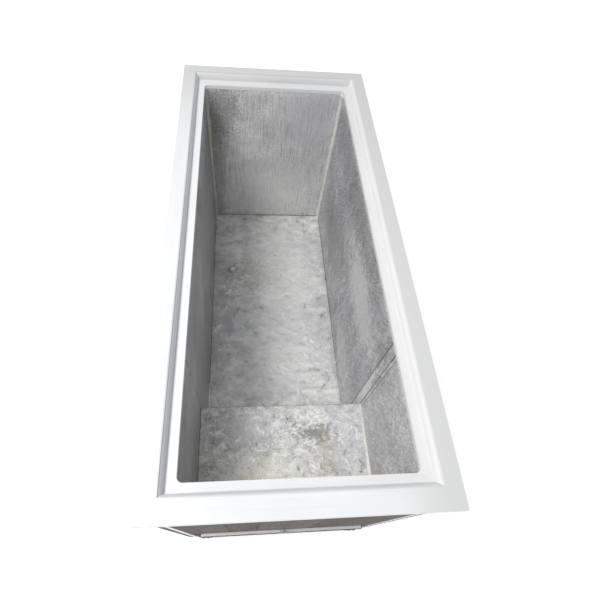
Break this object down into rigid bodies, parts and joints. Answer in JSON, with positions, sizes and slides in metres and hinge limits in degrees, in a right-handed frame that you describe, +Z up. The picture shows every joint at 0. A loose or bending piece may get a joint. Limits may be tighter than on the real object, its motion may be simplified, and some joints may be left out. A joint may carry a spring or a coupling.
{
  "type": "chest icebox",
  "caption": "Trough-shaped chest icebox with a stepped zinc liner, a white rebated deck frame, a boarded casing and small end doors.",
  "frame": {"origin": "on the ground, under the middle of the deck", "axes": "+Z up, +Y along the length, away from the end that has the step and the small doors, +X to the right as seen from that end"},
  "size_m": [0.61, 1.404, 0.77],
  "materials": {
    "white_paint": "white oil paint, satin, slightly yellowed in places",
    "zinc": "old zinc sheet, mottled, dented and streaked",
    "solder": "dull solder, cream grey",
    "cork": "pressed cork slab",
    "weathered_wood": "bare weathered boards, brown grey",
    "inner_wood": "planed softwood",
    "galvanised": "galvanised sheet, bright",
    "brass": "tarnished brass",
    "copper": "dull copper pipe",
    "hinge_steel": "dark worn iron"
  },
  "bodies": {
    "cabinet": {"deck_board_left": "white_paint", "deck_board_right": "white_paint", "deck_board_near": "white_paint", "deck_board_far": "white_paint", "cove_left": "white_paint", "cove_right": "white_paint", "cove_near": "white_paint", "cove_far": "white_paint", "ledge_left": "white_paint", "ledge_right": "white_paint", "ledge_near": "white_paint", "ledge_far": "white_paint", "top_rails_side": "inner_wood", "top_rails_end": "inner_wood", "corner_posts": "inner_wood", "base_runners": "inner_wood", "bottom_boards": "inner_wood", "side_boards_left": "weathered_wood", "side_boards_right": "weathered_wood", "far_end_boards": "weathered_wood", "near_end_boards": "weathered_wood", "near_end_stiles": "weathered_wood", "near_bottom_rail": "weathered_wood", "corner_strips": "galvanised", "liner_left": "zinc", "liner_right": "zinc", "liner_near_left": "zinc", "liner_near_right": "zinc", "liner_near": "zinc", "liner_far": "zinc", "liner_step": "zinc", "liner_riser": "zinc", "liner_floor": "zinc", "solder_seams": "solder", "cork_walls": "cork", "cork_floor": "cork", "cork_step": "cork", "compartment_ceiling": "inner_wood", "compartment_back": "inner_wood", "compartment_linings": "inner_wood", "drain_strainer": "brass", "drain_pipe": "copper", "drain_cock_body": "brass", "hinge_plates": "hinge_steel", "hinge_pins": "hinge_steel", "hinge_screws": "hinge_steel", "turn_button_screw": "hinge_steel"},
    "door_left": {"door_left_front": "weathered_wood", "door_left_block": "inner_wood", "door_left_cap": "galvanised", "door_left_leaves": "hinge_steel", "door_left_screws": "hinge_steel"},
    "door_right": {"door_right_front": "weathered_wood", "door_right_block": "inner_wood", "door_right_cap": "galvanised", "door_right_leaves": "hinge_steel", "door_right_screws": "hinge_steel"},
    "turn_button": {"turn_button": "galvanised"},
    "cock_lever": {"drain_cock_lever": "brass"},
    "drip_pan": {"drip_pan": "galvanised"}
  },
  "joints": [
    {"name": "door_left_hinge", "type": "hinge", "parent": "cabinet", "child": "door_left", "pos_m": [-0.2455, -0.698, 0.12], "axis": [0, 0, -1], "range_deg": [0, 105]},
    {"name": "door_right_hinge", "type": "hinge", "parent": "cabinet", "child": "door_right", "pos_m": [0.2455, -0.698, 0.12], "axis": [0, 0, 1], "range_deg": [0, 105]},
    {"name": "turn_button_pivot", "type": "hinge", "parent": "cabinet", "child": "turn_button", "pos_m": [0, -0.7, 0.208], "axis": [0, 1, 0], "range_deg": [0, 90]},
    {"name": "cock_lever_pivot", "type": "hinge", "parent": "cabinet", "child": "cock_lever", "pos_m": [0, -0.462, 0.14], "axis": [0, 0, -1], "range_deg": [0, 90]},
    {"name": "drip_pan_slide", "type": "slide", "parent": "cabinet", "child": "drip_pan", "axis": [0, -1, 0], "range_m": [0, 0.025]}
  ]
}
